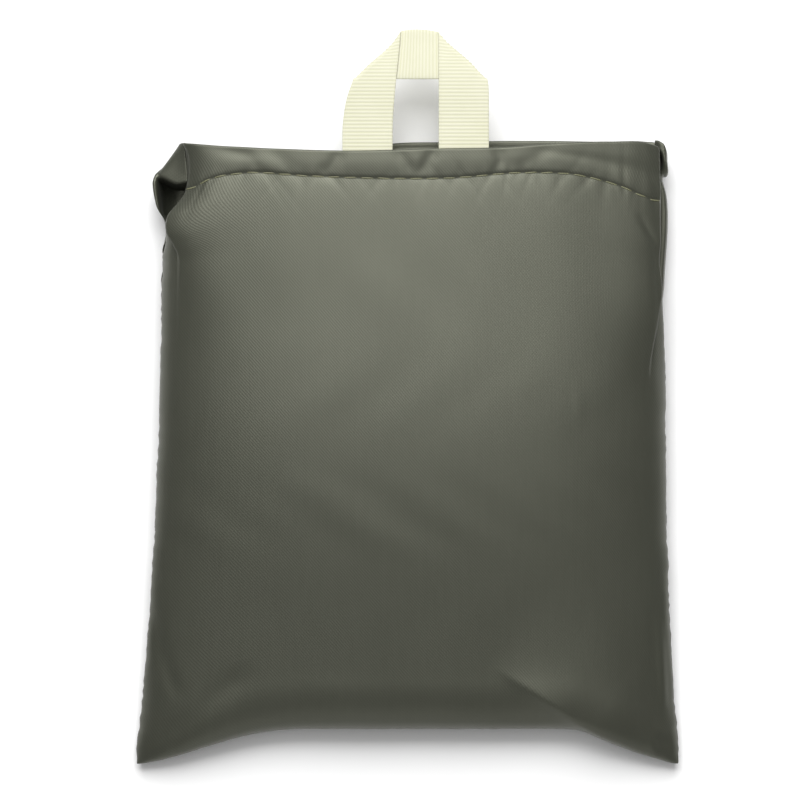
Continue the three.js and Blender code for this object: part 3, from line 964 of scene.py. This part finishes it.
SHEET_PITCH = MIDDLE_SHEET_LOW.z - LOW_SHEET_LOW.z
SHEET_GAP = 0.3 * MM
LEG_PITCH = 3 * SHEET_PITCH
LEG_HALF = (LEG_PITCH - SHEET_GAP) / 2
TOTE_HALF = TOP_SHEET_HIGH.x
TOTE_FRONT, TOTE_REAR = TOP_SHEET_HIGH.y, TOP_SHEET_LOW.y
TOTE_TOP, TOTE_BASE = TOP_SHEET_HIGH.z, LOW_SHEET_LOW.z
LEG_Z = (TOTE_BASE + LEG_HALF, TOTE_BASE + LEG_HALF + LEG_PITCH, TOTE_TOP - LEG_HALF)
TOTE_CLOTH = 0.12 * MM
LAYER_PITCH = 0.42 * MM  # between the three layers that lie together in each sheet
BUNDLE_TOP = HANDLE_HIGH.z + 1.6 * MM  # with the turn of the front handle over it
MARGIN = 1.5 * MM
TACK_LIFT = 1.25 * MM  # from the low side of a handle's tack in the CAD up to its threads


# The mouth end of the folded tote strays from straight by this much, as (x, y) in mm:
TOTE_SWAY = ((-64, -9), (-50, -5), (-20, -5), (-5, -2), (10, -1.5), (25, -1.5), (42, -2), (55, -5), (64, -10))


def fold_line():
    """The line that the tote is folded along, seen from the side: places and normals, (y, z) each."""
    low_r, high_r = (LEG_Z[1] - LEG_Z[0]) / 2, (LEG_Z[2] - LEG_Z[1]) / 2
    turn = np.linspace(-math.pi / 2, math.pi / 2, 13)
    low_n = np.stack([-np.cos(turn), -np.sin(turn)], axis=1)
    low = np.array([TOTE_FRONT - LEG_HALF - low_r, LEG_Z[0] + low_r]) - low_n * low_r
    high_n = np.stack([-np.cos(turn), np.sin(turn)], axis=1)
    high = np.array([TOTE_REAR + LEG_HALF + high_r, LEG_Z[1] + high_r]) + high_n * high_r
    places = np.concatenate([[[TOTE_REAR, LEG_Z[0]]], low, high, [[TOTE_FRONT, LEG_Z[2]]]])
    normal = np.concatenate([[[0, 1]], low_n, high_n, [[0, 1]]])
    return places, normal


def serpentine(width, layers, pitch):
    """A sheet folded to and fro across: place across, height, and distance along the cloth."""
    radius = pitch / 2
    turn = np.linspace(-math.pi / 2, math.pi / 2, 7)[1:-1]
    places = []
    for k in range(layers):
        way = 1 if k % 2 == 0 else -1
        run = np.linspace(-1, 1, 26) * (width / 2 - radius) * way
        places.append(np.stack([run, np.full(26, k * pitch)], axis=1))
        if k < layers - 1:
            bend = way * (width / 2 - radius + radius * np.cos(turn))
            places.append(np.stack([bend, k * pitch + radius + radius * np.sin(turn)], axis=1))
    places = np.concatenate(places)
    return places[:, 0], places[:, 1] - (layers - 1) / 2 * pitch, lengths(places)


def bundle_shape(points):
    """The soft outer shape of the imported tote: thinner at its sides and wherever the pouch is low."""
    x, y, z = np.moveaxis(points, -1, 0)
    middle = (TOTE_BASE + TOTE_TOP) / 2
    side = bulge(x / TOTE_HALF * 0.985, 5)
    z = middle + (z - middle) * side
    room = front_height(x, np.minimum(y, MOUTH_Y)) - MARGIN
    floor = back_height(x, np.minimum(y, MOUTH_Y)) + 0.4 * MM
    share = np.clip((room - floor) / (BUNDLE_TOP - TOTE_BASE), 0.1, 1)
    z = np.maximum(floor, TOTE_BASE) + (z - TOTE_BASE) * np.minimum(share * 1.04, 1)
    z = z + 0.35 * MM * rolling(x, y, 42 * MM, 61) * smoothstep(TOTE_BASE, TOTE_TOP, z)
    end = curve(x, TOTE_SWAY) * smoothstep(35 * MM, TOTE_FRONT, y)
    uneven = 0.7 * MM * wander(y, 50 * MM, 62) * (x / TOTE_HALF)
    x = x * (1 - 0.03 * smoothstep(-50 * MM, TOTE_REAR, y)) + uneven
    return xyz(x, y + end, z)


def tote_sheet(name, node, offset):
    across, height, u = serpentine(2 * TOTE_HALF, 3, LAYER_PITCH)
    places, normal = fold_line()
    length = lengths(places)
    w = np.unique(np.concatenate([length, np.arange(0, length[-1], 3 * MM)]))
    line = at_lengths(w, length, places)
    out = unit(at_lengths(w, length, normal))
    yz = line[:, None] + out[:, None] * (offset + height)[None, :, None]
    x = np.broadcast_to(across, yz.shape[:2])
    points = bundle_shape(np.concatenate([x[..., None], yz], axis=-1))
    mesh = grid_mesh(name, points, cloth_places(u, w))
    obj = add_piece(name, mesh, TOTE_TWILL, "bundle", [node])
    thicken(obj, TOTE_CLOTH)


def handle(name, node):
    """25 mm webbing laid flat, with two square turns between its sewn ends."""
    low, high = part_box(node)
    width = 25 * MM
    thickness = 1.1 * MM
    half = high.x - width / 2
    reach = high.y - low.y - width / 2 + 4 * MM
    points, uv = looped_strip(width, reach, 2 * half, thickness, 0.62 * MM, 1, 1.1 * MM)
    x = half - points[..., 0]
    y = high.y + 4 * MM - points[..., 1]
    z = low.z + thickness / 2 + points[..., 2]
    mesh = grid_mesh(name, bundle_shape(xyz(x, y, z)), uv, closed=True)
    add_piece(name, mesh, WEBBING, "bundle", [node])


def tote_hem_stitches():
    """A row of stitches along the tote's own mouth, 20 mm in from its edge."""
    x = np.linspace(-TOTE_HALF + 3 * MM, TOTE_HALF - 3 * MM, 90)
    path = np.stack([x, np.full(90, TOTE_FRONT - 20 * MM), np.full(90, TOTE_TOP - TOTE_CLOTH)], axis=1)
    path = bundle_shape(path)
    up = np.tile([0.0, 0.0, 1.0], (90, 1))
    lines = stitches(path, up, 3.2 * MM, rise=0.15 * MM, sink=0.1 * MM)
    mesh = thread_mesh("tote_hem_stitches", lines, 0.15 * MM)
    add_piece("tote_hem_stitches", mesh, THREAD, "bundle")


# ---- materials


class Nodes:
    """A short way to write a material's nodes."""

    def __init__(self, name, roughness=0.7, specular=0.5, sheen=0.0):
        self.material = bpy.data.materials.new(name)
        self.material.use_nodes = True
        self.tree = self.material.node_tree
        self.shader = self.tree.nodes["Principled BSDF"]
        inputs = self.shader.inputs
        inputs["Roughness"].default_value = roughness
        inputs["Specular IOR Level"].default_value = specular
        inputs["Sheen Weight"].default_value = sheen
        inputs["Sheen Roughness"].default_value = 0.4

    def add(self, kind, **settings):
        node = self.tree.nodes.new("ShaderNode" + kind)
        for key, value in settings.items():
            setattr(node, key, value)
        return node

    def fill(self, sockets, values):
        for socket, value in zip(sockets, values):
            if isinstance(value, (int, float)):
                socket.default_value = value
            elif isinstance(value, tuple):
                socket.default_value = (*value, 1)
            else:
                self.tree.links.new(value, socket)

    def math(self, operation, *values):
        node = self.add("Math", operation=operation)
        self.fill(node.inputs, values)
        return node.outputs[0]

    def times(self, a, b):
        return self.math("MULTIPLY", a, b)

    def place(self):
        """The cloth's own x and y, in metres."""
        axes = self.add("SeparateXYZ")
        self.fill(axes.inputs, (self.add("UVMap", uv_map="cloth").outputs["UV"],))
        return axes.outputs[0], axes.outputs[1]

    def noise(self, x, y, scale, detail=2.0):
        vector = self.add("CombineXYZ")
        self.fill(vector.inputs, (x, y))
        node = self.add("TexNoise")
        node.inputs["Scale"].default_value = scale
        node.inputs["Detail"].default_value = detail
        self.fill(node.inputs, (vector.outputs[0],))
        return node.outputs["Fac"]

    def wave(self, x, pitch):
        """0 to 1 and back in each pitch along x."""
        turn = self.math("SINE", self.times(x, TURN / pitch))
        return self.math("MULTIPLY_ADD", turn, 0.5, 0.5)

    def colour(self, factor, dark, light):
        node = self.add("Mix", data_type="RGBA")
        self.fill([node.inputs["Factor"], node.inputs[6], node.inputs[7]], (factor, dark, light))
        self.fill([self.shader.inputs["Base Color"]], (node.outputs[2],))

    def bump(self, height, distance, strength=1.0):
        node = self.add("Bump")
        node.inputs["Strength"].default_value = strength
        node.inputs["Distance"].default_value = distance
        self.fill([node.inputs["Height"]], (height,))
        self.fill([self.shader.inputs["Normal"]], (node.outputs["Normal"],))


def twill(name, dark, light, pitch=0.68 * MM, lean=math.radians(40)):
    """Fine nylon twill: slanted ribs of crossed threads, with faint bars and blotches."""
    n = Nodes(name, roughness=0.45, specular=0.85, sheen=0.02)
    n.shader.inputs["Specular Tint"].default_value = (0.98, 1, 0.8, 1)
    x, y = n.place()
    slant = n.math("ADD", n.times(x, math.cos(lean)), n.times(y, math.sin(lean)))
    ribs = n.wave(slant, pitch)
    threads = n.wave(x, pitch * 0.61)
    weave = n.math("MULTIPLY_ADD", n.times(ribs, threads), 0.6, n.times(ribs, 0.4))
    blotch = n.noise(x, y, 45, 3)
    bars = n.noise(n.times(x, 9), y, 60)
    cast = n.math("MULTIPLY_ADD", blotch, 0.35, n.times(bars, 0.3))
    n.colour(n.math("MULTIPLY_ADD", weave, 0.4, cast), dark, light)
    n.bump(weave, 0.022 * MM)
    return n.material


def grosgrain(name, dark, light):
    """Ribbed ribbon. The ribs are in its shape; this adds fine threads and paints the shade between the ribs
    into its colour, mixed with random tone.
    """
    n = Nodes(name, roughness=0.75, specular=0.3, sheen=0.2)
    x, y = n.place()
    rib = n.wave(n.math("ADD", y, RIB / 4), RIB)
    threads = n.wave(x, 0.28 * MM)
    # painted shade: the colour darkens in the valleys between the ribs, and the noise adds random tone
    painted_rib_shade_and_tone = n.math("MULTIPLY_ADD", n.math("SQRT", rib), 0.62, n.times(n.noise(x, y, 90), 0.4))
    n.colour(painted_rib_shade_and_tone, dark, light)
    n.bump(threads, 0.03 * MM, 0.5)
    return n.material


def twisted_thread(name, dark, light):
    n = Nodes(name, roughness=0.55, specular=0.5, sheen=0.1)
    x, y = n.place()
    twist = n.wave(n.math("MULTIPLY_ADD", y, 0.6, x), 0.5 * MM)
    n.colour(twist, dark, light)
    n.bump(twist, 0.05 * MM, 0.6)
    return n.material


def webbing(name, dark, light):
    """Flat woven webbing: a herringbone of coarse threads."""
    n = Nodes(name, roughness=0.8, specular=0.3, sheen=0.1)
    x, y = n.place()
    chevron = n.math("ADD", y, n.math("PINGPONG", x, 2.1 * MM))
    threads = n.times(n.wave(x, 0.7 * MM), 0.3)
    weave = n.math("MULTIPLY_ADD", n.wave(chevron, 1.2 * MM), 0.7, threads)
    n.colour(weave, dark, light)
    n.bump(weave, 0.15 * MM, 0.7)
    return n.material


def floor_paint():
    n = Nodes("floor_paint", roughness=0.9, specular=0.1)
    n.shader.inputs["Base Color"].default_value = (0.9, 0.9, 0.9, 1)
    return n.material


POUCH_TWILL = twill("pouch_twill", (0.018, 0.019, 0.014), (0.038, 0.04, 0.031))
TOTE_TWILL = twill("tote_twill", (0.022, 0.023, 0.017), (0.042, 0.044, 0.034), pitch=0.7 * MM)
WEBBING = webbing("webbing", (0.05, 0.052, 0.04), (0.095, 0.098, 0.076))
# The darker grosgrain colour is the painted shade between the ribs.
GROSGRAIN = grosgrain("grosgrain", (0.51, 0.51, 0.34), (0.64, 0.63, 0.51))
THREAD = twisted_thread("olive_thread", (0.075, 0.075, 0.038), (0.2, 0.2, 0.11))


# ---- floor, light and camera


def add_floor():
    size = 3.0
    corners = [(-size, -size, 0), (size, -size, 0), (size, size, 0), (-size, size, 0)]
    mesh = bpy.data.meshes.new("floor")
    mesh.from_pydata(corners, [], [(0, 1, 2, 3)])
    mesh.materials.append(floor_paint())
    add_object("floor", mesh)


def add_area_light(name, place, size, power):
    light = bpy.data.lights.new(name, "AREA")
    light.size = size
    light.energy = power
    obj = add_object(name, light)
    obj.location = place
    obj.rotation_euler = (Vector((0, 0, 0)) - Vector(place)).to_track_quat("-Z", "Y").to_euler()


def add_lights():
    world = bpy.data.worlds.new("studio")
    bpy.context.scene.world = world
    world.use_nodes = True
    background = world.node_tree.nodes["Background"].inputs
    background["Color"].default_value = (1, 1, 1, 1)
    background["Strength"].default_value = 0.2
    add_area_light("key", (-0.07, 0.86, 1.12), 1.0, 26)
    add_area_light("overhead", (0, 0.3, 1.5), 1.2, 7)
    add_area_light("front_fill", (0, -1.2, 0.5), 0.8, 1.8)


def add_camera():
    height = 1.3
    view_width = 0.2424
    camera = bpy.data.cameras.new("camera")
    camera.sensor_width = 36
    camera.lens = camera.sensor_width * height / view_width
    camera.clip_end = 10
    obj = add_object("camera", camera)
    obj.location = (-2.3 * MM, -1.1 * MM, height)
    bpy.context.scene.camera = obj
    bpy.context.scene.view_settings.view_transform = "Standard"


# ---- the whole scene

add_camera()
add_floor()
add_lights()

hem_stitching("front_stitches", pouch_front(), "front_hem_stitching", 0.93)
hem_stitching("back_stitches", pouch_back(), "back_hem_stitching", 0.8)
for side_name, side_sign in (("left", -1), ("right", 1)):
    seam(side_name + "_seam", *side_seam_path(side_sign), side_name + "_seam_overlock")
    bar_tack("loop_tack_" + side_name, "pouch", LOOP_Z - 0.6 * MM)
seam("bottom_seam", *bottom_seam_path(), "bottom_seam_overlock")
hanging_loop()
for sheet_name, sheet_offset in (("front_panel", 1), ("gusset", 0), ("back_panel", -1)):
    tote_sheet("folded_" + sheet_name, "tote_" + sheet_name, sheet_offset * SHEET_PITCH)
for handle_name in ("front_handle", "back_handle"):
    handle(handle_name + "_webbing", handle_name)
    for tack_side in ("left", "right"):
        tack = handle_name + "_tack_" + tack_side
        bar_tack(tack, "bundle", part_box(tack)[0].z + TACK_LIFT, inset=MM)
tote_hem_stitches()
